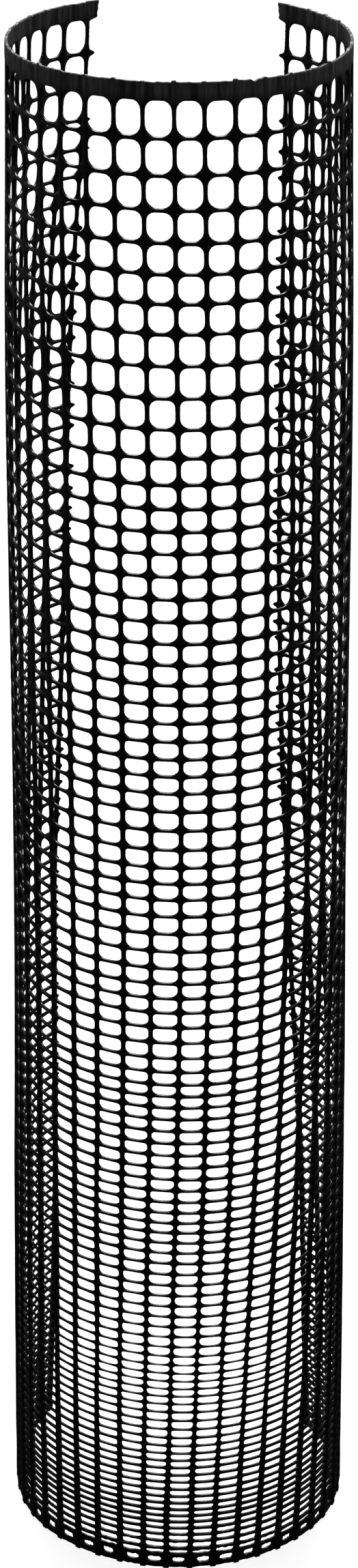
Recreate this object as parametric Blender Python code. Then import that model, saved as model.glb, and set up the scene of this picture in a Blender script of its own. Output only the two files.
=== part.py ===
"""Tree guard tube: a springy, slit tube of black extruded net.

The sheet is divided along its length into 31 strands.  Each strand is one
lengthwise rib with the half cross strands that grow from it on both sides and
its own share of the solid band at the top and the narrow band at the foot.
Neighbouring strands meet half way across the openings, where the real sheet
flexes, and a fine clearance separates them there.

Frame: metres, +Z up, foot on z = 0, the middle of the footprint on the Z axis.
The spine strand faces -Y, the slit faces +Y, and the right strands are at +X.
"""
import math

import bmesh
import bpy
import numpy as np

# ------------------------------------------------------------------ dimensions
TUBE_HEIGHT = 0.550            # foot to top rim
TOP_RADIUS = 0.05682           # middle of the net's thickness, at the top rim
FOOT_RADIUS = 0.06186          # the same at the foot
WAIST = 0.00148                # four times the side's hollow at half height
DEPTH_STRETCH = 1.022          # front to back over side to side

RIBS_EACH_SIDE = 15            # ribs on each side of the spine rib

# Values at 0, 25, 50, 75 and 100 percent of the way down from the top rim.
# Headings turn round the tube from -Y towards +X.
RIB_PITCH_DEG = (9.68, 9.74, 9.53, 8.99, 8.04)
SPINE_HEADING_DEG = (-1.98, -0.11, 0.34, -1.68, -4.68)
RIB_WIDTH = (0.00130, 0.00145, 0.00170, 0.00200, 0.00235)
RIB_DEPTH = (0.00170, 0.00180, 0.00195, 0.00215, 0.00235)

NET_DEPTH = 0.00135            # thickness of the cross strands and bands
CROSS_STRAND_HEIGHT = 0.00110
TOP_BAND_HEIGHT = 0.0058
FOOT_BAND_HEIGHT = 0.0023
EDGE_STUB = 0.0011             # cut cross strand ends beyond the slit's ribs
EDGE_BAND_STUB = 0.0030        # band beyond the slit's ribs
CLEARANCE = 0.00040            # between neighbouring strands

ROWS = 98                      # rows of openings, a cross strand between each two
FIRST_ROW_DEPTH = 0.01131      # top rim to the middle of the first row
KEEP_EVERY = 4                 # every fourth cross strand is modelled

# Row counted from the top, and the row pitch there; straight lines in between.
ROW_PITCH = (
    (0, 0.01227), (5, 0.00927), (8, 0.01096), (13, 0.00760), (17, 0.00787),
    (26, 0.00593), (29, 0.00757), (31, 0.00566), (35, 0.00683), (38, 0.00541),
    (42, 0.00604), (45, 0.00437), (50, 0.00488), (53, 0.00475), (57, 0.00400),
    (61, 0.00447), (65, 0.00433), (67, 0.00426), (72, 0.00326), (75, 0.00331),
    (79, 0.00358), (83, 0.00314), (86, 0.00325), (90, 0.00251), (95, 0.00311),
    (97, 0.00277),
)

HINGE_LEVEL = 0.72             # how far down the tube, as a fraction, an upright
                               # flex axis meets the middle of its openings

PLASTIC_COLOUR = (0.013, 0.014, 0.016, 1.0)
PLASTIC_ROUGHNESS = 0.36


# -------------------------------------------------------------- the tube's form
def way_down(z):
    """Fraction of the way down from the top rim, 1 being the foot."""
    return (TUBE_HEIGHT - z) / TUBE_HEIGHT


def smooth_value(values, down):
    """Polynomial (Lagrange) curve through values spaced evenly over down = 0..1."""
    last = len(values) - 1
    total = 0.0
    for i, value in enumerate(values):
        weight = 1.0
        for j in range(len(values)):
            if j != i:
                weight *= (down * last - j) / (i - j)
        total += value * weight
    return total


def radius(down):
    return TOP_RADIUS + (FOOT_RADIUS - TOP_RADIUS) * down - WAIST * down * (1 - down)


def heading(position, down):
    """Angle round the tube of a fractional rib position, 0 being the spine."""
    return math.radians(
        smooth_value(SPINE_HEADING_DEG, down) + position * smooth_value(RIB_PITCH_DEG, down)
    )


def tube_point(angle, z, outwards=0.0):
    """Point on the middle of the net's thickness, or outwards from it."""
    tube_radius = radius(way_down(z))
    return (
        (tube_radius + outwards) * math.sin(angle),
        -(tube_radius * DEPTH_STRETCH + outwards) * math.cos(angle),
        z,
    )


# -------------------------------------------------------------- levels and spans
def cross_strand_heights():
    """Height above the foot of each modelled cross strand, from the foot up."""
    knot_rows, knot_pitches = zip(*ROW_PITCH)
    depths = [FIRST_ROW_DEPTH]
    for row in range(ROWS - 1):
        depths.append(depths[-1] + float(np.interp(row + 0.5, knot_rows, knot_pitches)))
    between_rows = [(above + below) / 2 for above, below in zip(depths, depths[1:])]
    modelled = between_rows[KEEP_EVERY - 1::KEEP_EVERY]
    return [TUBE_HEIGHT - depth for depth in reversed(modelled)]


def strand_levels():
    """Heights of the horizontal cuts, and the kind of each span between them."""
    half_height = CROSS_STRAND_HEIGHT / 2
    levels = [0.0, FOOT_BAND_HEIGHT]
    kinds = ["band"]
    for z in cross_strand_heights():
        levels += [z - half_height, z + half_height]
        kinds += ["open", "cross"]
    levels += [TUBE_HEIGHT - TOP_BAND_HEIGHT, TUBE_HEIGHT]
    kinds += ["open", "band"]
    return levels, kinds


# ------------------------------------------------------------------ the strands
# A strand is a grid of cells: three columns (side, rib, side) by the spans.
COLUMNS = 3
RIB_COLUMN = 1

# Corners of a cell's faces as (across, up, skin); skin is 1 outside, -1 inside.
SKIN_FACES = (
    ((0, 0, 1), (1, 0, 1), (1, 1, 1), (0, 1, 1)),
    ((0, 0, -1), (0, 1, -1), (1, 1, -1), (1, 0, -1)),
)
# Faces needed only where the neighbour (columns across, spans up) is empty.
BORDER_FACES = (
    ((-1, 0), ((0, 0, 1), (0, 1, 1), (0, 1, -1), (0, 0, -1))),
    ((1, 0), ((1, 0, 1), (1, 0, -1), (1, 1, -1), (1, 1, 1))),
    ((0, -1), ((0, 0, 1), (0, 0, -1), (1, 0, -1), (1, 0, 1))),
    ((0, 1), ((0, 1, 1), (1, 1, 1), (1, 1, -1), (0, 1, -1))),
)


def side_end_angle(index, side, z, kind):
    """Angle of the outer end of a strand's side material; side is -1 or 1."""
    down = way_down(z)
    if index * side == RIBS_EACH_SIDE:
        stub = EDGE_BAND_STUB if kind == "band" else EDGE_STUB
        reach = stub + smooth_value(RIB_WIDTH, down) / 2
        return heading(index, down) + side * reach / radius(down)
    return heading(index + side * 0.5, down) - side * (CLEARANCE / 2) / radius(down)


def corner_point(index, edge, z, skin, kind):
    """Edges 0 and 3 are the ends of the side material, 1 and 2 the rib's sides."""
    if edge in (0, COLUMNS):
        side = 1 if edge == COLUMNS else -1
        return tube_point(side_end_angle(index, side, z, kind), z, skin * NET_DEPTH / 2)
    down = way_down(z)
    half_angle = smooth_value(RIB_WIDTH, down) / 2 / radius(down)
    side = 1 if edge == RIB_COLUMN + 1 else -1
    angle = heading(index, down) + side * half_angle
    return tube_point(angle, z, skin * smooth_value(RIB_DEPTH, down) / 2)


def strand_shape(index, levels, kinds):
    """Vertices and faces of one strand, in the tube's own frame."""
    verts, faces, known = [], [], {}

    def is_filled(column, span):
        if not (0 <= column < COLUMNS and 0 <= span < len(kinds)):
            return False
        return column == RIB_COLUMN or kinds[span] != "open"

    def corner(edge, level, skin, kind):
        """Index of a corner's vertex, which neighbouring cells share."""
        key = (edge, level, skin)
        if key not in known:
            known[key] = len(verts)
            verts.append(corner_point(index, edge, levels[level], skin, kind))
        return known[key]

    for column in range(COLUMNS):
        for span, kind in enumerate(kinds):
            if not is_filled(column, span):
                continue
            cell_faces = list(SKIN_FACES)
            for (across, up), face in BORDER_FACES:
                if not is_filled(column + across, span + up):
                    cell_faces.append(face)
            for face in cell_faces:
                faces.append(tuple(
                    corner(column + across, span + up, skin, kind) for across, up, skin in face
                ))
    return verts, faces


def strand_origin(index, shift):
    """The spine's origin is the frame's.  Any other strand's is the foot of the upright
    axis it flexes about, against the strand next to it on the spine's side."""
    if index == 0:
        return (0.0, 0.0, 0.0)
    position = index - 0.5 if index > 0 else index + 0.5
    x, y, _ = tube_point(heading(position, HINGE_LEVEL), TUBE_HEIGHT * (1 - HINGE_LEVEL))
    return (x + shift[0], y + shift[1], 0.0)


def strand_name(index):
    if index == 0:
        return "spine_strand"
    side = "right" if index > 0 else "left"
    if abs(index) == RIBS_EACH_SIDE:
        return f"{side}_edge_strand"
    return f"{side}_strand_{abs(index):02d}"


def plastic(name):
    material = bpy.data.materials.new(name)
    material.use_nodes = True
    material.diffuse_color = PLASTIC_COLOUR
    shader = material.node_tree.nodes["Principled BSDF"]
    shader.inputs["Base Color"].default_value = PLASTIC_COLOUR
    shader.inputs["Roughness"].default_value = PLASTIC_ROUGHNESS
    shader.inputs["Metallic"].default_value = 0.0
    return material


def add_strand(index, verts, faces, shift):
    """Add one strand, its tube-frame vertices moved by shift to centre the tube."""
    name = strand_name(index)
    origin = strand_origin(index, shift)
    local_verts = [tuple(vert[a] + shift[a] - origin[a] for a in range(3)) for vert in verts]
    mesh = bpy.data.meshes.new(name)
    mesh.from_pydata(local_verts, [], faces)
    bm = bmesh.new()
    bm.from_mesh(mesh)
    bmesh.ops.recalc_face_normals(bm, faces=bm.faces)
    bm.to_mesh(mesh)
    bm.free()
    mesh.materials.append(plastic(name + "_plastic"))
    strand = bpy.data.objects.new(name, mesh)
    strand.location = origin
    bpy.context.scene.collection.objects.link(strand)


def centring_shift(shapes):
    """Move that brings the middle of the tube's footprint onto the Z axis."""
    xs = [vert[0] for verts, _ in shapes.values() for vert in verts]
    ys = [vert[1] for verts, _ in shapes.values() for vert in verts]
    return (-(min(xs) + max(xs)) / 2, -(min(ys) + max(ys)) / 2, 0.0)


def build():
    for old in list(bpy.data.objects):
        bpy.data.objects.remove(old, do_unlink=True)

    # From the spine outwards, right before left.
    order = [0] + [side * n for n in range(1, RIBS_EACH_SIDE + 1) for side in (1, -1)]
    levels, kinds = strand_levels()
    shapes = {index: strand_shape(index, levels, kinds) for index in order}
    shift = centring_shift(shapes)
    for index, (verts, faces) in shapes.items():
        add_strand(index, verts, faces, shift)


build()
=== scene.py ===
"""A black plastic net tube, slit down the back, standing upright on the floor.

The foot is at z = 0, the front faces -Y and +X is to the right.  Upright ribs are
counted from the left edge of the slit, round the front, to its right edge, with the
spine rib in front.  Cross strands ("lines") join the ribs between rows of openings.
"""
import math
from collections import namedtuple

import bpy
import numpy as np
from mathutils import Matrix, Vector


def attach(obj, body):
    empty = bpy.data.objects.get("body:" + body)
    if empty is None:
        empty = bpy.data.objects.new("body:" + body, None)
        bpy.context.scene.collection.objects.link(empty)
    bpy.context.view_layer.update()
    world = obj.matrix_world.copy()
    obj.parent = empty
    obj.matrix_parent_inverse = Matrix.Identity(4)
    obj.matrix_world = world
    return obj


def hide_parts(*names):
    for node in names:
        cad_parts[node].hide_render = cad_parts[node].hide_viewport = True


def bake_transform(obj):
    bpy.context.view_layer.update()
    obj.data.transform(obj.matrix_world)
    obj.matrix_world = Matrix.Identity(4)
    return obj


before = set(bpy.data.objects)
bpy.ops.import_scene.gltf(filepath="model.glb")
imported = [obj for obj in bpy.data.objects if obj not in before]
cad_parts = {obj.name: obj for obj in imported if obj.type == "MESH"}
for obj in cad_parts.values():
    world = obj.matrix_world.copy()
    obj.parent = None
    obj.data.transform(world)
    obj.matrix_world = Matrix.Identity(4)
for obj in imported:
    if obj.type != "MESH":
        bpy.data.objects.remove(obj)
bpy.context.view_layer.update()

# ------------------------------------------------------------------- dimensions
# Millimetres and degrees.  Depth runs down from the top rim; a "way" is the share
# of the height gone down, 0 at the rim and 1 at the foot.
MM = 0.001
HEIGHT = 550.0
TOP_RADIUS, FOOT_RADIUS, WAIST = 56.82, 61.86, 1.48
DEPTH_STRETCH = 1.022                       # front to back, against side to side
TILT, TILT_FADE = 0.0088, 60.0              # drop per mm to the right; fades out near the foot
SHIFT_X, SHIFT_Y = -0.0173815, 6.4905307    # where the tube's axis stands

SIDE = 15                                   # ribs each side of the spine rib
RIBS = 2 * SIDE + 1
RIB_PITCH = (9.68, 9.74, 9.53, 8.99, 8.04)  # degrees, at even steps of the way down
SPINE_HEADING = (-1.98, -0.11, 0.34, -1.68, -4.68)

# sizes at the stations down the tube
STATIONS = (0.0, 0.15, 0.30, 0.45, 0.60, 0.75, 0.80, 0.84, 0.88, 0.92, 0.96, 1.0)
RIB_WIDTH = (1.40, 1.50, 1.66, 1.70, 1.58, 1.50, 1.44, 1.18, 1.22, 1.60, 1.84, 2.10)
RIB_THICK = (1.12, 1.12, 1.16, 1.28, 1.50, 1.85, 1.95, 2.00, 2.00, 2.00, 2.00, 2.00)
NET_THICK = (1.12, 1.12, 1.14, 1.15, 1.14, 1.12, 0.95, 0.76, 0.90, 1.05, 1.12, 1.12)
STRAND_TALL = (1.26, 1.26, 1.24, 1.17, 1.07, 0.96, 0.78, 0.57, 0.72, 0.99, 1.15, 1.12)
# how much taller the strands are away from the front
SIDE_TALL = (0.00, 0.00, 0.00, 0.05, 0.15, 0.25, 0.32, 0.45, 0.36, 0.20, 0.05, 0.00)

BAND_THICK = 1.05
TOP_BAND, FOOT_BAND = 5.8, 2.2              # heights of the solid bands
BAND_LAP = 0.8                              # from a band's edge to the line inside it
BAND_LEVELS = (0.0, 0.35, 1.1, 2.3, 3.7)    # depths above the first line
FOOT_LEVELS = (549.15, 549.65, HEIGHT)      # depths below the last line
FOOT_TAPER = (0.98, 0.90, 0.70)             # share of the thickness at each of them
EDGE_ROUND = 0.62                           # reach of the rounding round an opening

ROWS, FIRST_ROW = 98, 11.31                 # rows of openings; depth of the first
ROW_PITCH = (                               # row number, pitch there
    (0, 12.27), (5, 9.27), (8, 10.96), (13, 7.60), (17, 7.87), (26, 5.93),
    (29, 7.57), (31, 5.66), (35, 6.83), (38, 5.41), (42, 6.04), (45, 4.37),
    (50, 4.88), (53, 4.75), (57, 4.00), (61, 4.47), (65, 4.33), (67, 4.26),
    (72, 3.26), (75, 3.31), (79, 3.58), (83, 3.14), (86, 3.25), (90, 2.51),
    (95, 3.11), (97, 2.77),
)

rng = np.random.default_rng(20462)


# ---------------------------------------------------------------------- curves
def through(values, way):
    """Smooth curve through values spaced evenly down the tube."""
    way = np.asarray(way, float)
    last = len(values) - 1
    total = np.zeros_like(way)
    for i, value in enumerate(values):
        weight = np.ones_like(way)
        for j in range(last + 1):
            if j != i:
                weight = weight * (way * last - j) / (i - j)
        total = total + value * weight
    return total


def evenly(values, way):
    """Straight pieces between values spaced evenly down the tube."""
    return np.interp(way, np.linspace(0, 1, len(values)), values)


def down(values, depth):
    """A value given at the stations, at a depth."""
    return np.interp(depth / HEIGHT, STATIONS, values)


def along(table, depth):
    """A value from a table of ways down and values, at a depth."""
    return np.interp(depth / HEIGHT, *table)


def smoothstep(share):
    share = np.clip(share, 0, 1)
    return share * share * (3 - 2 * share)


def tube_radius(way):
    return TOP_RADIUS + (FOOT_RADIUS - TOP_RADIUS) * way - WAIST * way * (1 - way)


def heading(position, way):
    """Direction from the axis, in radians from the front; position in ribs from the spine."""
    return np.radians(through(SPINE_HEADING, way) + position * through(RIB_PITCH, way))


def rib_spacing(depth):
    way = depth / HEIGHT
    return np.radians(through(RIB_PITCH, way)) * tube_radius(way)


# middles of the rows of openings, and the lines the cross strands run along
pitch_rows, pitches = np.array(ROW_PITCH).T
ROW_MIDDLE = FIRST_ROW + np.concatenate(
    [[0.0], np.cumsum(np.interp(np.arange(ROWS - 1) + 0.5, pitch_rows, pitches))])
LINE = np.concatenate([[TOP_BAND - BAND_LAP], (ROW_MIDDLE[:-1] + ROW_MIDDLE[1:]) / 2,
                       [HEIGHT - FOOT_BAND + BAND_LAP]])
LINE_TALL = np.concatenate([[2 * BAND_LAP], down(STRAND_TALL, LINE[1:-1]), [2 * BAND_LAP]])


def at_depth(line_values, depth):
    """A value given at every line, at a depth."""
    line = np.interp(depth, LINE, np.arange(ROWS + 1))
    above = np.clip(line.astype(int), 0, ROWS - 1)
    part = np.clip(line - above, 0, 1)
    return line_values[above] * (1 - part) + line_values[above + 1] * part


# ----------------------------------------------------------------- irregularities
# towards the slit the rows run higher than in front, by these mm
REAR_LIFT = (0.0, 0.3, 2.0, 4.0, 4.8, 4.7, 4.5, 4.0, 3.4, 2.9, 1.9, 0.9, 0.0, 0.0, 0.0)
# and in front they bow: mm down, a row for each rising power of the way to BOW_RIB
BOW_RIB = 7.0
ROW_BOW = (
    (0.35, 0.46, 0.58, 0.54, 0.79, 0.79, 0.68, 0.46),
    (-0.69, -0.33, 0.06, 0.18, 0.81, 1.19, 1.23, 1.02),
    (-0.04, -0.95, -1.63, -1.69, -0.94, -0.40, -0.31, -0.32),
    (1.09, -0.06, -0.97, -1.47, -1.51, -1.26, -0.88, -0.71),
)


def smooth_noise(count, step, spread):
    """Values wandering along the lines, with a knot every few lines."""
    knot_count = len(np.arange(0, ROWS + 1 + step, step))
    knots = rng.normal(0, spread, (count, knot_count))
    place_along = np.arange(ROWS + 1) / step
    i = place_along.astype(int)
    part = smoothstep(place_along - i)
    return knots[:, i] * (1 - part) + knots[:, i + 1] * part


def line_noise(spread):
    """Independent values where every rib meets every line."""
    return rng.normal(0, spread, (RIBS, ROWS + 1))


def node_drops():
    """How far each crossing of a rib and a line sits below its nominal depth."""
    ribs = np.arange(-SIDE, SIDE + 1)
    angles = np.radians(ribs * 9.3)
    drops = np.zeros((RIBS, ROWS + 1))
    for wave in (1, 2, 3, 5):
        cosine, sine = (smooth_noise(1, 4, 0.10 / wave ** 0.5)[0] for _ in range(2))
        drops += np.outer(np.cos(wave * angles), cosine) + np.outer(np.sin(wave * angles), sine)
    drops += line_noise(0.055)
    # calmer near both ends
    drops *= np.clip((HEIGHT - LINE) / 12.0, 0, 1) * np.clip(LINE / 6.0, 0.3, 1)
    way = LINE / HEIGHT
    drops -= np.outer(smoothstep((np.abs(ribs) - 4) / 8.0), evenly(REAR_LIFT, way))
    in_front = smoothstep((12 - np.abs(ribs)) / 5.0)
    for power, bow in enumerate(ROW_BOW):
        drops += np.outer(in_front * (np.clip(ribs, -7.5, 7.5) / BOW_RIB) ** power,
                          evenly(bow, way) * np.clip(LINE / 15.0, 0, 1))
    drops[:, -1] = 0.0
    return drops


RIB_WANDER = smooth_noise(RIBS, 7, 0.10) + line_noise(0.03)
RIB_GIRTH = 1 + smooth_noise(RIBS, 5, 0.035) + line_noise(0.015)
NODE_DROP = node_drops()
# shallow dents: depth, waves round the tube, half waves down it, phase
DENTS = [(rng.normal(0, 0.16), int(rng.integers(1, 5)), rng.uniform(0.5, 3.2),
          rng.uniform(0, 6.28)) for _ in range(9)]
RIM_KNOB = -rng.uniform(0.05, 0.50, RIBS)      # the ribs' ends stand above the rim
RIM_SAG = rng.normal(0.08, 0.15, (RIBS, 9))
FOOT_LIFT = rng.uniform(0.15, 0.5, (RIBS, 9))  # the foot's edge is higher between ribs
NICKED = SIDE + 2                              # column with a nick in its rim
NICK_DEEP, NICK_WIDE, NICK_AT = 1.0, 0.55, 0.62   # the last as a share of the column


def dent(angle, way):
    total = np.zeros_like(angle)
    for size, around, downward, phase in DENTS:
        total = total + (size * np.cos(around * angle + phase)
                         * np.cos(downward * math.pi * way + 2 * phase))
    return total * np.clip((1 - way) * 12, 0, 1)


# ------------------------------------------------------------------ out of round
# Waves of extra bend run round the wall: a row per wave, in hundredths of a radian
# at even steps from rim to foot.  The spine rib stands SPINE_BACK mm further back.
SWAY_ODD = (
    (1.1, -4.0, -3.3, -3.5, -1.3, 2.9), (8.5, 11.4, 13.5, 19.0, 7.8, -10.4),
    (-12.0, -16.3, -19.5, -23.8, -15.5, 4.5), (-1.2, 6.2, 8.5, 3.9, 4.1, 2.3),
)
SWAY_EVEN = (
    (-2.5, 1.8, 3.3, 4.9, 2.6, 4.9), (1.9, 0.8, -2.6, -6.3, -1.5, -8.2),
    (-0.1, -3.9, -0.6, 2.6, 0.2, 7.1), (0.8, 0.6, 0.5, 0.4, -1.7, -1.4),
)
SPINE_BACK = (0.23, 0.70, 0.78, 0.95, 1.60, 0.30)
# the grid the swayed wall is worked out on
GRID_STEP = 0.125
GRID_RIBS = np.arange(-16.0, 16.0001, GRID_STEP)   # ribs from the spine
GRID_WAYS = np.linspace(0, 1, 56)


def eased(values):
    """Values down the grid with their corners softened."""
    return np.mean([evenly(values, GRID_WAYS + shift)
                    for shift in np.linspace(-0.08, 0.08, 9)], 0)


def extra_turn(position):
    angle = (np.pi * position / SIDE)[:, None]
    return sum(0.01 / wave * (eased(odd) * np.sin(wave * angle)
                              + eased(even) * (1 - np.cos(wave * angle)))
               for wave, (odd, even) in enumerate(zip(SWAY_ODD, SWAY_EVEN), 1))


def round_wall(position, way):
    """The wall before it sways, as seen from above, in mm from the axis."""
    angle = heading(position, way)
    return (tube_radius(way) * np.sin(angle),
            -tube_radius(way) * DEPTH_STRETCH * np.cos(angle))


def rotated(x, y, turn):
    return np.cos(turn) * x - np.sin(turn) * y, np.sin(turn) * x + np.cos(turn) * y


def swayed_grids():
    """x, y and extra turn of the real wall over the grid."""
    x, y = round_wall(GRID_RIBS[:, None], GRID_WAYS[None, :])
    turn = extra_turn((GRID_RIBS[1:] + GRID_RIBS[:-1]) / 2)
    step_x, step_y = rotated(np.diff(x, axis=0), np.diff(y, axis=0), turn)
    path_x = np.cumsum(np.vstack([x[:1], step_x]), 0)
    path_y = np.cumsum(np.vstack([y[:1], step_y]), 0)
    spine = len(GRID_RIBS) // 2
    return (path_x - path_x[spine] + x[spine],
            path_y - path_y[spine] + y[spine] + eased(SPINE_BACK),
            extra_turn(GRID_RIBS))


SWAY_X, SWAY_Y, SWAY_TURN = swayed_grids()


def swayed(position, way, x, y):
    """Carries a point of the round wall to where the real wall runs."""
    grid_x, grid_y = (position - GRID_RIBS[0]) / GRID_STEP, way * (len(GRID_WAYS) - 1)
    i = np.clip(grid_x.astype(int), 0, len(GRID_RIBS) - 2)
    j = np.clip(grid_y.astype(int), 0, len(GRID_WAYS) - 2)
    part_x, part_y = grid_x - i, grid_y - j

    def look(grid):
        return ((grid[i, j] * (1 - part_y) + grid[i, j + 1] * part_y) * (1 - part_x)
                + (grid[i + 1, j] * (1 - part_y) + grid[i + 1, j + 1] * part_y) * part_x)

    wall_x, wall_y = round_wall(position, way)
    off_x, off_y = rotated(x - wall_x, y - wall_y, look(SWAY_TURN))
    return look(SWAY_X) + off_x, look(SWAY_Y) + off_y


def place(rib, across, depth, height, drop=0.0):
    """World points, in metres.

    rib: number 0..30 of the rib on the left; across: mm to the right of it;
    depth: mm below the rim; height: mm out from the middle of the net;
    drop: mm further down, without following the wall.
    """
    depth = np.asarray(depth, float)
    way = depth / HEIGHT
    cells = across / rib_spacing(depth)

    def field(grid):
        part = np.clip(cells, 0, 1)
        return (at_depth(grid[rib], depth) * (1 - part)
                + at_depth(grid[min(rib + 1, RIBS - 1)], depth) * part)

    position = rib - SIDE + cells
    radius = tube_radius(way)
    angle = heading(position, way) + field(RIB_WANDER) / radius
    radius = radius + dent(angle, way)
    x = (radius + height) * np.sin(angle)
    y = -(radius * DEPTH_STRETCH + height) * np.cos(angle)
    x, y = swayed(position, way, x, y)
    z = HEIGHT - depth - field(NODE_DROP) - drop
    z = z - TILT * x * np.clip(z / TILT_FADE, 0, 1)
    return np.stack([(x + SHIFT_X) * MM, (y + SHIFT_Y) * MM, z * MM], -1)


def rib_half(sizes, rib, depth):
    """Half of a rib's width or thickness."""
    return down(sizes, depth) / 2 * at_depth(RIB_GIRTH[rib], depth)


def net_half_thick(depth):
    return down(NET_THICK, depth) / 2


# ------------------------------------------------------------------- one opening
# Degrees round a corner from its diagonal to the strand, plain and beside a band
PLAIN_TURNS = (45.0, 22.5, 0.0)
FINE_TURNS = (45.0, 33.0, 20.0, 9.0, 0.0)
STRAND_SHARES = (0.27, 0.5, 0.73)            # points along the straight of a strand

# ways down, then mm there
TOP_CORNER = ((0, 0.12, 0.25, 0.40, 0.55, 0.75, 0.85, 1),
              (2.7, 2.3, 1.8, 1.35, 1.15, 0.95, 0.85, 0.60))
LOW_CORNER = ((0, 0.12, 0.25, 0.40, 0.55, 0.75, 0.85, 1),
              (2.9, 2.7, 2.4, 2.1, 1.85, 1.45, 1.15, 0.66))
SIDE_BULGE = ((0, 0.1, 0.3, 0.6, 1), (0.42, 0.30, 0.18, 0.08, 0.0))
LOW_BULGE = ((0, 0.1, 0.3, 0.6, 0.75, 0.83, 0.9, 1),
             (0.20, 0.30, 0.38, 0.34, 0.38, 0.50, 0.20, 0.08))
TOP_BULGE = ((0, 0.3, 0.6, 0.75, 0.83, 0.9, 1), (0.10, 0.08, 0.08, 0.12, 0.28, 0.14, 0.05))

Nominal = namedtuple(
    "Nominal", "half_wide half_tall middle top_corner low_corner side_bulge low_bulge top_bulge")


def nominal(row):
    """The regular shape of a row's openings; middle is a depth."""
    depth = ROW_MIDDLE[row]
    top = LINE[row] + LINE_TALL[row] / 2
    bottom = LINE[row + 1] - LINE_TALL[row + 1] / 2
    return Nominal((rib_spacing(depth) - down(RIB_WIDTH, depth)) / 2, (bottom - top) / 2,
                   (top + bottom) / 2, along(TOP_CORNER, depth), along(LOW_CORNER, depth),
                   along(SIDE_BULGE, depth), along(LOW_BULGE, depth), along(TOP_BULGE, depth))


NOMINAL = [nominal(row) for row in range(ROWS)]


def line_turns(line):
    return FINE_TURNS if line in (0, ROWS) else PLAIN_TURNS


def side_turns(row):
    """The same round the other half of a corner, towards the rib; fewer lower down."""
    if row < 58:
        return (67.5, 90.0)
    return (90.0,) if row < 76 else ()


def line_points(line):
    return 2 * len(line_turns(line)) + len(STRAND_SHARES)


def opening(row, half_wide, half_tall, radii):
    """Points round an opening: along the top, down the right, back along the
    bottom, up the left. x to the right and y down, from its middle.
    radii: upper left, upper right, lower left, lower right."""
    limit = min(half_wide, half_tall) * 0.97
    signs = ((-1, -1), (1, -1), (-1, 1), (1, 1))
    upper_left, upper_right, lower_left, lower_right = (
        (min(radius, limit), *sign) for radius, sign in zip(radii, signs))

    def corner(radius, side, upright, turns):
        return [(side * (half_wide - radius) + side * radius * math.sin(math.radians(turn)),
                 upright * (half_tall - radius) + upright * radius * math.cos(math.radians(turn)))
                for turn in turns]

    def strand_run(start, end, turns):
        first, last = corner(*start, turns), corner(*end, turns)[::-1]
        (x0, y), x1 = first[-1], last[0][0]
        return first + [(x0 + (x1 - x0) * share, y) for share in STRAND_SHARES] + last

    def side_run(upper, lower):
        turns = side_turns(row)
        (x0, y0), (x1, y1) = corner(*upper, (90.0,)) + corner(*lower, (90.0,))
        middle = ((x0 + x1) / 2, (y0 + y1) / 2)
        return corner(*upper, turns) + [middle] + corner(*lower, turns)[::-1]

    x, y = np.array(strand_run(upper_left, upper_right, line_turns(row))
                    + side_run(upper_right, lower_right)
                    + strand_run(lower_right, lower_left, line_turns(row + 1))
                    + side_run(upper_left, lower_left)[::-1]).T
    shape = NOMINAL[row]
    bulge = np.where(y > 0, shape.low_bulge, shape.top_bulge)
    return np.stack([x * (1 - shape.side_bulge / half_wide * (y / half_tall) ** 2),
                     y * (1 - bulge / half_tall * (x / half_wide) ** 2)], 1)


def parts_of(row):
    """Slices of an opening's points: top, right side, bottom, left side."""
    side = 2 * len(side_turns(row)) + 1
    ends = np.cumsum([0, line_points(row), side, line_points(row + 1), side])
    return [slice(start, stop) for start, stop in zip(ends, ends[1:])]


# border points, shared by neighbouring openings
NOMINAL_POINTS = [
    opening(row, shape.half_wide, shape.half_tall, [shape.top_corner] * 2 + [shape.low_corner] * 2)
    for row, shape in enumerate(NOMINAL)]
SIDE_DEPTH = [NOMINAL[row].middle + points[parts_of(row)[1], 1]
              for row, points in enumerate(NOMINAL_POINTS)]
LINE_WIDTH = rib_spacing(LINE)


def line_across(line):
    """Where along a cross strand its border points lie, in mm from the left rib."""
    width = LINE_WIDTH[line]
    runs = []
    if line < ROWS:
        runs.append(NOMINAL_POINTS[line][parts_of(line)[0], 0] + width / 2)
    if line > 0:
        runs.append(NOMINAL_POINTS[line - 1][parts_of(line - 1)[2], 0][::-1] + width / 2)
    across = np.mean(runs, 0)
    across[0], across[-1] = 0.0, width
    if line in (0, ROWS):                    # the ribs stand proud of the bands
        half = down(RIB_WIDTH, LINE[line]) / 2
        across[1], across[2] = half * 0.80, half * 1.22
        across[3] = (across[2] + across[4]) / 2
        across[-4:-1] = width - across[3:0:-1]
    return across


LINE_ACROSS = [line_across(line) for line in range(ROWS + 1)]


# ------------------------------------------------------------------- the plastic
MIX_A, MIX_B, MIX_RESULT = 6, 7, 2           # colour sockets of a mix node


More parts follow.
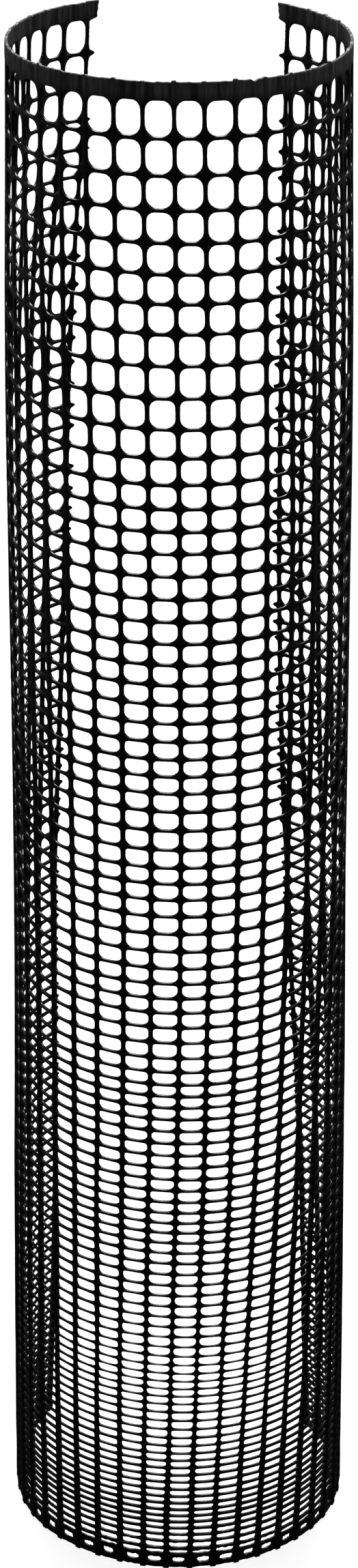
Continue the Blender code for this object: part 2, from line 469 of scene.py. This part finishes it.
class Graph:
    """Adds shader nodes to a tree."""

    def __init__(self, tree):
        self.tree = tree

    def add(self, kind, x, y, inputs=None, **settings):
        """A node; each input is given a value or the socket that feeds it."""
        node = self.tree.nodes.new("ShaderNode" + kind)
        node.location = (x, y)
        for key, setting in settings.items():
            setattr(node, key, setting)
        for key, given in (inputs or {}).items():
            if isinstance(given, bpy.types.NodeSocket):
                self.tree.links.new(given, node.inputs[key])
            else:
                node.inputs[key].default_value = given
        return node

    def math(self, x, y, operation, *terms):
        return self.add("Math", x, y, dict(enumerate(terms)), operation=operation).outputs[0]

    def map_range(self, x, y, source, start, end=(0.0, 1.0), **settings):
        inputs = {"Value": source, "From Min": start[0], "From Max": start[1],
                  "To Min": end[0], "To Max": end[1]}
        return self.add("MapRange", x, y, inputs, **settings).outputs["Result"]

    def noise(self, y, vector, scale, detail, roughness=0.5):
        inputs = {"Vector": vector, "Scale": scale, "Detail": detail, "Roughness": roughness}
        return self.add("TexNoise", -1100, y, inputs).outputs["Fac"]

    def stretched_noise(self, y, vector, scales, detail, roughness=0.5):
        stretch = self.add("Mapping", -1300, y, {"Vector": vector, "Scale": scales})
        return self.noise(y, stretch.outputs["Vector"], 1.0, detail, roughness)

    def mix(self, x, factor, first, second):
        inputs = {0: factor, MIX_A: first, MIX_B: second}
        return self.add("Mix", x, 200, inputs, data_type="RGBA").outputs[MIX_RESULT]


def scuff_mask(graph, position, height):
    """Dusty scuffs, fewer towards the foot."""
    noise = graph.stretched_noise(-600, position, (260, 260, 90), detail=6.0, roughness=0.7)
    scuffs = graph.map_range(-880, -600, noise, (0.60, 0.78))
    handled = graph.map_range(-880, -760, height, (0.10, 0.38), (0.12, 0.55))
    return graph.math(-680, -600, "MULTIPLY", scuffs, handled)


def rub_and_sheen_mask(graph, position, near_rim):
    """Upright streaks on the plain top band, partly rubbed wear and partly painted sheen, but not
    on its upward-facing faces.
    """
    noise = graph.stretched_noise(-1100, position, (480, 480, 40), detail=5.0, roughness=0.65)
    rub_and_sheen_streaks = graph.map_range(-880, -1100, noise, (0.41, 0.68), (0.12, 1.0))
    here = graph.math(-680, -1000, "MULTIPLY", near_rim, rub_and_sheen_streaks)
    geometry = graph.add("NewGeometry", -1300, -1300)
    facing = graph.add("SeparateXYZ", -1100, -1300, {0: geometry.outputs["Normal"]})
    upward = graph.map_range(-880, -1300, facing.outputs["Z"], (0.20, 0.55), (1.0, 0.04))
    return graph.math(-480, -1000, "MULTIPLY", here, upward)


def black_polyethylene():
    material = bpy.data.materials.new("black_polyethylene")
    material.use_nodes = True
    material.diffuse_color = (0.013, 0.014, 0.016, 1)
    graph = Graph(material.node_tree)
    position = graph.add("TexCoord", -1500, 0).outputs["Object"]
    height = graph.add("SeparateXYZ", -1300, -900, {0: position}).outputs["Z"]

    # lines drawn along the ribs, fine grain and slow mottling
    lines = graph.stretched_noise(300, position, (2600, 2600, 60), detail=3.0)
    grain = graph.noise(0, position, scale=3800.0, detail=2.0)
    mottle = graph.noise(-300, position, scale=130.0, detail=4.0, roughness=0.62)
    scuffs = scuff_mask(graph, position, height)
    near_rim = graph.map_range(-1100, -900, height, (0.5425, 0.5465))
    # streaks near the rim: partly rubbed wear, partly painted sheen
    rubbed_and_sheen = rub_and_sheen_mask(graph, position, near_rim)

    dark, light = (0.0024, 0.0025, 0.0027, 1), (0.0056, 0.0057, 0.0060, 1)
    # grey of the rim band's streaks: partly rubbed wear, partly painted sheen
    dust, rubbed_grey_and_sheen = (0.030, 0.030, 0.031, 1), (0.23, 0.23, 0.235, 1)
    plain = graph.mix(-500, mottle, dark, light)
    dusty = graph.mix(-280, scuffs, plain, dust)
    worn_and_sheen = graph.mix(-60, rubbed_and_sheen, dusty, rubbed_grey_and_sheen)

    # rougher where mottled, scuffed or near the rim
    rough = graph.map_range(-500, -100, mottle, (0.30, 0.70), (0.18, 0.34))
    rough = graph.math(-280, -100, "MULTIPLY_ADD", scuffs, 0.25, rough)
    rough = graph.math(-60, -100, "MULTIPLY_ADD", near_rim, 0.22, rough)

    relief = graph.math(-880, 200, "MULTIPLY_ADD", grain, 0.35, lines)
    bump = graph.add("Bump", -500, -400, {"Strength": 0.35, "Distance": 0.00012, "Height": relief})

    shader = graph.tree.nodes["Principled BSDF"]
    shader.inputs["IOR"].default_value = 1.51
    graph.tree.links.new(worn_and_sheen, shader.inputs["Base Color"])
    graph.tree.links.new(rough, shader.inputs["Roughness"])
    graph.tree.links.new(bump.outputs["Normal"], shader.inputs["Normal"])
    return material


PLASTIC = black_polyethylene()


# --------------------------------------------------------------------- the skins
class Shell:
    """A closed skin of quads, laid out flat beside one rib and then placed round the tube."""

    def __init__(self, rib):
        self.rib = rib
        self.flat, self.faces, self.count = [], [], 0

    def add(self, across, depth, height, drop=0.0):
        """Adds points and gives their numbers."""
        points = np.stack(np.broadcast_arrays(across, depth, height, drop)).reshape(4, -1)
        start = self.count
        self.flat.append(points)
        self.count += points.shape[1]
        return np.arange(start, self.count)

    def border(self, across, depth, height, drop=0.0):
        """The same points on the outer and the inner face."""
        return self.add(across, depth, height, drop), self.add(across, depth, -height, drop)

    def ring(self, first, second, closed=True, flip=False):
        """Quads between two rows of points of the same length."""
        first, second = np.asarray(first), np.asarray(second)
        quads = np.stack([second, np.roll(second, -1), np.roll(first, -1), first], 1)
        if not closed:
            quads = quads[:-1]
        self.faces.append(quads[:, ::-1] if flip else quads)

    def object(self, name):
        """The object, with its points' across and depth."""
        across, depth, height, drop = np.concatenate(self.flat, 1)
        points = place(self.rib, across, depth, height, drop)
        quads = np.concatenate(self.faces).astype(np.int32)
        mesh = bpy.data.meshes.new(name)
        mesh.vertices.add(len(points))
        mesh.vertices.foreach_set("co", points.astype(np.float32).ravel())
        mesh.loops.add(quads.size)
        mesh.loops.foreach_set("vertex_index", quads.ravel())
        mesh.polygons.add(len(quads))
        mesh.polygons.foreach_set("loop_start", np.arange(0, quads.size, 4, dtype=np.int32))
        mesh.update(calc_edges=True)
        mesh.validate()
        mesh.shade_smooth()
        mesh.set_sharp_from_angle(angle=math.radians(58))
        obj = bpy.data.objects.new(name, mesh)
        bpy.context.scene.collection.objects.link(obj)
        obj.data.materials.append(PLASTIC)
        return obj, across, depth


# -------------------------------------------------------- a column of openings
RIB_ENDS = [0, 1, -1, -2]                    # a band's points that lie on its two ribs


def band_profile(line, depth, rib, thick, rise):
    """Half thickness across a solid band, with the rib ridges at both ends."""
    half = np.full(line_points(line), thick)
    half[[0, 1]] = rib_half(RIB_THICK, rib, depth) * rise
    half[[-1, -2]] = rib_half(RIB_THICK, rib + 1, depth) * rise
    return half


def across_band(line, values):
    """Values spaced evenly across the column, at the line's points."""
    return np.interp(LINE_ACROSS[line], np.linspace(0, LINE_WIDTH[line], len(values)), values)


def rim_drop(rib):
    """How far the rim sits below its nominal height, across one column."""
    sag = across_band(0, RIM_SAG[rib] * 0.6)
    sag[[0, 1]] = RIM_KNOB[rib]
    sag[[-1, -2]] = RIM_KNOB[rib + 1]
    if rib == NICKED:
        from_nick = LINE_ACROSS[0] - NICK_AT * LINE_WIDTH[0]
        sag += NICK_DEEP * np.exp(-((from_nick / NICK_WIDE) ** 2))
    return sag


def rim_rows(shell, rib):
    """Top band, from the rim down to just above the first line."""
    across = LINE_ACROSS[0]
    rim = rim_drop(rib)
    ripple = 0.045 * np.sin(np.arange(len(across)) * 2.1 + rib * 1.7)
    ripple[RIB_ENDS] = 0
    rows = []
    for depth in BAND_LEVELS:
        share = (1 - depth / LINE[0]) ** 1.5
        half = band_profile(0, depth, rib, BAND_THICK / 2, rise=0.92) + ripple
        half = half * (0.86 if depth == 0.0 else 1.0)
        rows.append(shell.border(across, depth, half, rim * share))
    return rows


def line_rows(shell, rib):
    """Borders along every line, and down both ribs beside every row."""
    lines, sides = [], []
    for line, depth in enumerate(LINE):
        if line in (0, ROWS):
            thick = BAND_THICK / 2 if line == 0 else net_half_thick(depth) * 0.95
            half = band_profile(line, depth, rib, thick, rise=0.94)
        else:
            half = np.full(line_points(line), net_half_thick(depth))
            half[0] = rib_half(RIB_THICK, rib, depth)
            half[-1] = rib_half(RIB_THICK, rib + 1, depth)
        lines.append(shell.border(LINE_ACROSS[line], depth, half))
        if line < ROWS:
            beside = SIDE_DEPTH[line]
            sides.append(
                shell.border(0.0, beside, rib_half(RIB_THICK, rib, beside))
                + shell.border(rib_spacing(beside), beside, rib_half(RIB_THICK, rib + 1, beside)))
    return lines, sides


def foot_rows(shell, rib):
    """Foot band, below the last line."""
    lift = across_band(ROWS, FOOT_LIFT[rib])
    lift[RIB_ENDS] = 0.0
    rows = []
    for i, (depth, taper) in enumerate(zip(FOOT_LEVELS, FOOT_TAPER), 1):
        half = band_profile(ROWS, depth, rib, net_half_thick(LINE[-1]) * 0.95, rise=1.0) * taper
        rows.append(shell.border(LINE_ACROSS[ROWS], depth, half, -lift * i / len(FOOT_LEVELS)))
    return rows


def uneven_opening(rib, row):
    """One opening's edge, across and depth, with its own small irregularities."""
    shape = NOMINAL[row]
    width = rib_spacing(shape.middle)
    half_left = rib_half(RIB_WIDTH, rib, shape.middle)
    half_right = rib_half(RIB_WIDTH, rib + 1, shape.middle)
    half_wide = (width - half_left - half_right) / 2
    centre = (width + half_left - half_right) / 2
    beside = smoothstep((abs(rib + 0.5 - SIDE) - 2.5) / 4.0)
    half_tall = ((shape.half_tall - beside * down(SIDE_TALL, shape.middle) / 2)
                 * (1 + rng.normal(0, 0.012)))
    middle = shape.middle + rng.normal(0, 0.03)
    wobble = 1 + rng.normal(0, 0.07, 4)
    top_corner, low_corner = shape.top_corner, shape.low_corner
    if row == ROWS - 1:                      # the last row is small and round-ended
        half_wide *= rng.uniform(0.62, 0.80)
        centre += rng.normal(0, 0.35)
        half_tall *= rng.uniform(0.58, 0.78)
        top_corner = low_corner = half_tall
    elif row == ROWS - 2:
        half_tall *= rng.uniform(0.60, 0.85)
    radii = np.array([top_corner, top_corner, low_corner, low_corner]) * wobble
    points = opening(row, half_wide, half_tall, radii)
    if row >= ROWS - 5:                      # ragged edges near the foot
        ragged = (0.05, 0.07, 0.10, 0.20, 0.12)[row - (ROWS - 5)]
        points[:, 1] += rng.normal(0, ragged, len(points)) * min(half_tall, 1.0)
    return centre + points[:, 0], middle + points[:, 1]


def edge_half_thick(rib, row, count):
    """Half thickness of the net at each point round an opening."""
    top, right, bottom, left = parts_of(row)
    depth = NOMINAL[row].middle
    net = net_half_thick(depth)
    half = np.full(count, net)
    for side, beside in ((right, rib + 1), (left, rib)):
        rib_thick = rib_half(RIB_THICK, beside, depth)
        half[side] = rib_thick
        half[[side.start - 1, side.stop % count]] = 0.6 * net + 0.4 * rib_thick
        if len(side_turns(row)) == 2:
            half[[side.start, side.stop - 1]] = 0.3 * net + 0.7 * rib_thick
    if row == 0:
        half[top] = BAND_THICK / 2 * 1.02
    if row == ROWS - 1:
        half[bottom] = net * 0.97
    return half


# From the outer border through the opening to the inner one: share of the rounding's
# reach, then share of the half thickness on ribs and on strands.  Rounder outside.
EDGE_LAYERS = ((0.54, 0.96, 0.93), (0.18, 0.64, 0.60), (0.0, 0.05, 0.06),
               (0.02, -0.50, -0.60), (0.30, -0.90, -0.93))


def add_opening(shell, rib, row, upper, lower, side):
    """Skin round one opening, between its border points."""
    x, y = uneven_opening(rib, row)
    top, _, bottom, _ = parts_of(row)
    left_outer, left_inner, right_outer, right_inner = side
    outer = np.concatenate([upper[0], right_outer, lower[0][::-1], left_outer[::-1]])
    inner = np.concatenate([upper[1], right_inner, lower[1][::-1], left_inner[::-1]])
    depth = SIDE_DEPTH[row]
    border_x = np.concatenate([LINE_ACROSS[row], rib_spacing(depth),
                               LINE_ACROSS[row + 1][::-1], np.zeros(len(depth))])
    border_y = np.concatenate([np.full(len(upper[0]), LINE[row]), depth,
                               np.full(len(lower[0]), LINE[row + 1]), depth[::-1]])
    to_x, to_y = border_x - x, border_y - y
    distance = np.hypot(to_x, to_y)
    reach = np.minimum(distance, EDGE_ROUND)
    half = edge_half_thick(rib, row, len(x))
    on_strand = np.zeros(len(x), bool)
    on_strand[top] = on_strand[bottom] = True

    skin = [outer]
    for share, rib_rise, strand_rise in EDGE_LAYERS:
        part = reach * share / distance
        rise = np.where(on_strand, strand_rise, rib_rise)
        skin.append(shell.add(x + to_x * part, y + to_y * part, half * rise))
    skin.append(inner)
    for first, second in zip(skin, skin[1:]):
        shell.ring(first, second)


def net_column(name, rib):
    """The column of openings between the middles of rib and rib + 1."""
    shell = Shell(rib)
    rim = rim_rows(shell, rib)
    lines, sides = line_rows(shell, rib)
    foot = foot_rows(shell, rib)
    shell.ring(rim[0][1], rim[0][0], closed=False)                 # the rim's face
    shell.ring(foot[-1][0], foot[-1][1], closed=False)             # the foot's face
    for stack in (rim + lines[:1], lines[-1:] + foot):
        for (outer, inner), (next_outer, next_inner) in zip(stack, stack[1:]):
            shell.ring(outer, next_outer, closed=False)
            shell.ring(next_inner, inner, closed=False)
    for row in range(ROWS):
        add_opening(shell, rib, row, lines[row], lines[row + 1], sides[row])

    # the two faces down the middles of the ribs
    for end, side, flip in ((0, 0, False), (-1, 2, True)):
        runs = []
        for face in (0, 1):
            run = [row[face][end] for row in rim]
            for line, beside in zip(lines, sides):
                run += [line[face][end], *beside[side + face]]
            runs.append(run + [row[face][end] for row in lines[-1:] + foot])
        shell.ring(*runs, closed=False, flip=flip)
    return shell.object(name)


# ------------------------------------------------------------- edges of the slit
# Cut ends of the strands: ways down, then mm there
STUB_LONG = ((0, 0.3, 0.6, 1), (1.50, 1.3, 1.0, 0.6))
STUB_TALL = ((0, 0.3, 1), (0.80, 0.68, 0.55))
STUB_WEB = ((0, 0.3, 0.7, 1), (2.2, 1.5, 0.7, 0.3))     # fillet into the rib
EDGE_STEP = 0.42                             # between depths along the edge
NEAREST = 0.03                               # depths closer than this are dropped
# depths in mm, then share of the thickness there
END_TAPER = ((0, 0.4, 549.1, 549.7, HEIGHT), (0.86, 1, 1, 0.93, 0.72))


def slit_outline(depths, half):
    """How far the edge reaches from the middle of the slit rib."""
    edge = half.copy()
    for depth in LINE[1:-1]:
        long = along(STUB_LONG, depth) * rng.uniform(0.6, 1.3)
        tall = along(STUB_TALL, depth) * rng.uniform(0.85, 1.2)
        lean = rng.normal(0, 0.10)
        y = depths - depth - rng.normal(0, 0.08)
        web = along(STUB_WEB, depth)
        edge += long * np.exp(-np.abs((y + lean) / tall) ** 3)
        edge += 0.34 * web * np.exp(-np.abs(y / (tall + web * 0.5)) ** 2)
    band = smoothstep((TOP_BAND + 0.5 - depths) / 1.2)
    band_edge = 3.3 + 0.12 * (TOP_BAND - depths) + 0.10 * np.sin(depths * 3)
    edge = edge * (1 - band) + band * band_edge
    foot = smoothstep((depths - (HEIGHT - FOOT_BAND - 0.3)) / 0.8)
    edge = edge * (1 - foot) + foot * 2.6
    return edge + rng.normal(0, 0.035, len(depths))


def slit_edge(name, rib, sign):
    """The outer half of a slit rib, with the cut ends of its cross strands."""
    shell = Shell(rib)
    steps = np.arange(0.6, HEIGHT - 0.5, EDGE_STEP)
    depths = np.unique(np.concatenate([BAND_LEVELS, LINE, FOOT_LEVELS, steps] + SIDE_DEPTH))
    depths = depths[np.concatenate([[True], np.diff(depths) > NEAREST])]
    half = rib_half(RIB_WIDTH, rib, depths)
    edge = slit_outline(depths, half)
    thin = np.where(depths < TOP_BAND, BAND_THICK / 2, net_half_thick(depths))
    mix = smoothstep((edge - half) / 0.8)
    taper = np.interp(depths, *END_TAPER)
    thick = rib_half(RIB_THICK, rib, depths)
    base = (thick * (1 - mix) + thin * mix) * taper
    thick = thick * taper
    drop = RIM_KNOB[rib] * np.clip(1 - depths / LINE[0], 0, 1) ** 1.5
    reach = np.minimum(edge, EDGE_ROUND)
    ridge = np.maximum(np.minimum(half * 0.8, edge - reach * 0.6), 0.02)
    middle = np.zeros_like(edge)
    # across and height, from the rib's middle outside round to its middle inside
    section = (
        (middle, thick), (ridge, thick * 0.985),
        (edge - reach * 0.50, base * 0.97), (edge - reach * 0.16, base * 0.66),
        (edge, 0 * base), (edge - reach * 0.30, -base * 0.86),
        (ridge, -thick * 0.985), (middle, -thick),
    )
    columns = [shell.add(sign * x, depths, height, drop) for x, height in section]
    leftward = sign < 0
    for first, second in zip(columns, columns[1:] + columns[:1]):
        shell.ring(first, second, closed=False, flip=not leftward)
    for end, flip in ((0, leftward), (-1, not leftward)):
        cap = np.array([column[end] for column in columns])
        quads = cap[np.array([(0, 1, 6, 7), (1, 2, 5, 6), (2, 3, 4, 5)])]
        shell.faces.append(quads[:, ::-1] if flip else quads)
    return shell.object(name)


# ------------------------------------------------------------------ put together
def body_name(rib):
    number = rib - SIDE
    if number == 0:
        return "spine_strand"
    side = "right" if number > 0 else "left"
    if abs(number) == SIDE:
        return side + "_edge_strand"
    return "%s_strand_%02d" % (side, abs(number))


def build_column(rib):
    """The column of openings between rib and rib + 1; hides the CAD rib further from the spine,
    and the spine rib with the first column on the right.
    """
    right = rib >= SIDE
    number = rib - SIDE + 1 if right else SIDE - rib
    obj, across, depth = net_column("net_column_%s%02d" % ("r" if right else "l", number), rib)
    near, far = (rib, rib + 1) if right else (rib + 1, rib)
    tuple(place(near, 0.0, HEIGHT / 2, 0.0))
    tuple(place(far, 0.0, HEIGHT / 2, 0.0))
    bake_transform(obj)
    # share of the way across the openings from the near rib to the far one, not used further
    half_left, half_right = (rib_half(RIB_WIDTH, i, depth) for i in (rib, rib + 1))
    follow = smoothstep((across - half_left) / (rib_spacing(depth) - half_left - half_right))
    if not right:
        follow = 1 - follow
    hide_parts(*([body_name(far)] + ([body_name(near)] if rib == SIDE else [])))


def build_slit_edge(rib, sign, side):
    obj, _, _ = slit_edge(side + "_slit_edge", rib, sign)
    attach(obj, body_name(rib))
    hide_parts(body_name(rib))


for rib in range(RIBS - 1):
    build_column(rib)
build_slit_edge(0, -1, "left")
build_slit_edge(RIBS - 1, 1, "right")

# CAD nodes that stay in the file keep the same plastic
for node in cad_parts.values():
    node.data.materials.clear()
    node.data.materials.append(PLASTIC)


# ------------------------------------------------------------------------ studio
# Metres from here on
LIGHT_TARGET = (0, 0, 0.3)
FLOOR_DROP = 0.0004                          # the floor lies just under the foot


def pale_floor():
    """Even and pale to the camera; to the plastic, dim in the middle and brighter
    to the sides."""
    material = bpy.data.materials.new("pale_floor")
    material.use_nodes = True
    graph = Graph(material.node_tree)
    graph.tree.nodes.clear()
    path = graph.add("LightPath", -900, 300)
    where = graph.add("NewGeometry", -1300, -100)
    split = graph.add("SeparateXYZ", -1100, -100, {0: where.outputs["Position"]})
    sideways = graph.math(-1000, -250, "ABSOLUTE", split.outputs["X"])
    fade = graph.map_range(-900, -100, sideways, (0.30, 1.00), (0.02, 0.06),
                           interpolation_type="SMOOTHSTEP")
    dim = graph.add("Emission", -600, -100, {"Strength": fade})
    even = graph.add("Emission", -600, 100, {"Strength": 0.90})
    paper = graph.add("BsdfDiffuse", -600, 260, {"Color": (0.20, 0.20, 0.20, 1)})
    seen = graph.add("AddShader", -380, 180, {0: even.outputs[0], 1: paper.outputs[0]})
    choose = graph.add("MixShader", -180, 60, {
        0: path.outputs["Is Camera Ray"], 1: dim.outputs[0], 2: seen.outputs[0]})
    graph.add("OutputMaterial", 20, 60, {"Surface": choose.outputs[0]})
    return material


def build_floor():
    mesh = bpy.data.meshes.new("studio_floor")
    mesh.from_pydata([(-8, -8, 0), (8, -8, 0), (8, 12, 0), (-8, 12, 0)], [], [(0, 1, 2, 3)])
    floor = bpy.data.objects.new("studio_floor", mesh)
    floor.location.z = -FLOOR_DROP
    bpy.context.scene.collection.objects.link(floor)
    mesh.materials.append(pale_floor())


def soft_light(name, location, width, height, radiance):
    data = bpy.data.lights.new(name, "AREA")
    data.shape = "RECTANGLE"
    data.size, data.size_y = width, height
    data.energy = radiance * math.pi * width * height
    light = bpy.data.objects.new(name, data)
    light.location = location
    light.rotation_mode = "QUATERNION"
    aim = Vector(LIGHT_TARGET) - Vector(location)
    light.rotation_quaternion = aim.to_track_quat("-Z", "Y")
    bpy.context.scene.collection.objects.link(light)
    light.visible_camera = False


def build_world(lighting, seen):
    """A white world, of one strength as light and another to the camera."""
    world = bpy.data.worlds.new("studio")
    bpy.context.scene.world = world
    world.use_nodes = True
    graph = Graph(world.node_tree)
    sky = graph.tree.nodes["Background"]
    path = graph.add("LightPath", -600, 200)
    choose = graph.add("Mix", -300, 100, {
        0: path.outputs["Is Camera Ray"], 2: lighting, 3: seen}, data_type="FLOAT")
    graph.tree.links.new(choose.outputs[0], sky.inputs["Strength"])
    sky.inputs["Color"].default_value = (1, 1, 1, 1)


def build_camera(location, below_level, lens):
    data = bpy.data.cameras.new("camera")
    data.sensor_width = 36.0
    data.sensor_fit = "AUTO"
    data.lens = lens
    data.clip_start, data.clip_end = 0.01, 50
    camera = bpy.data.objects.new("camera", data)
    camera.location = location
    camera.rotation_euler = (math.radians(90 - below_level), 0, 0)
    bpy.context.scene.collection.objects.link(camera)
    bpy.context.scene.camera = camera


build_floor()
soft_light("top_panel", (0, 0.85, 2.20), width=1.3, height=1.5, radiance=15.0)
soft_light("left_panel", (-1.9, 0.5, 1.0), width=0.6, height=1.4, radiance=0.5)
soft_light("right_panel", (1.9, 0.5, 1.0), width=0.6, height=1.4, radiance=0.5)
soft_light("front_fill", (0.3, -2.2, 1.9), width=1.2, height=0.8, radiance=1.25)
build_world(lighting=0.025, seen=0.9)
build_camera((-0.00016, -1.13789 + SHIFT_Y * MM, 0.81201), below_level=24.7288, lens=82.2454308)
bpy.context.scene.view_settings.view_transform = "Standard"

bpy.context.view_layer.update()
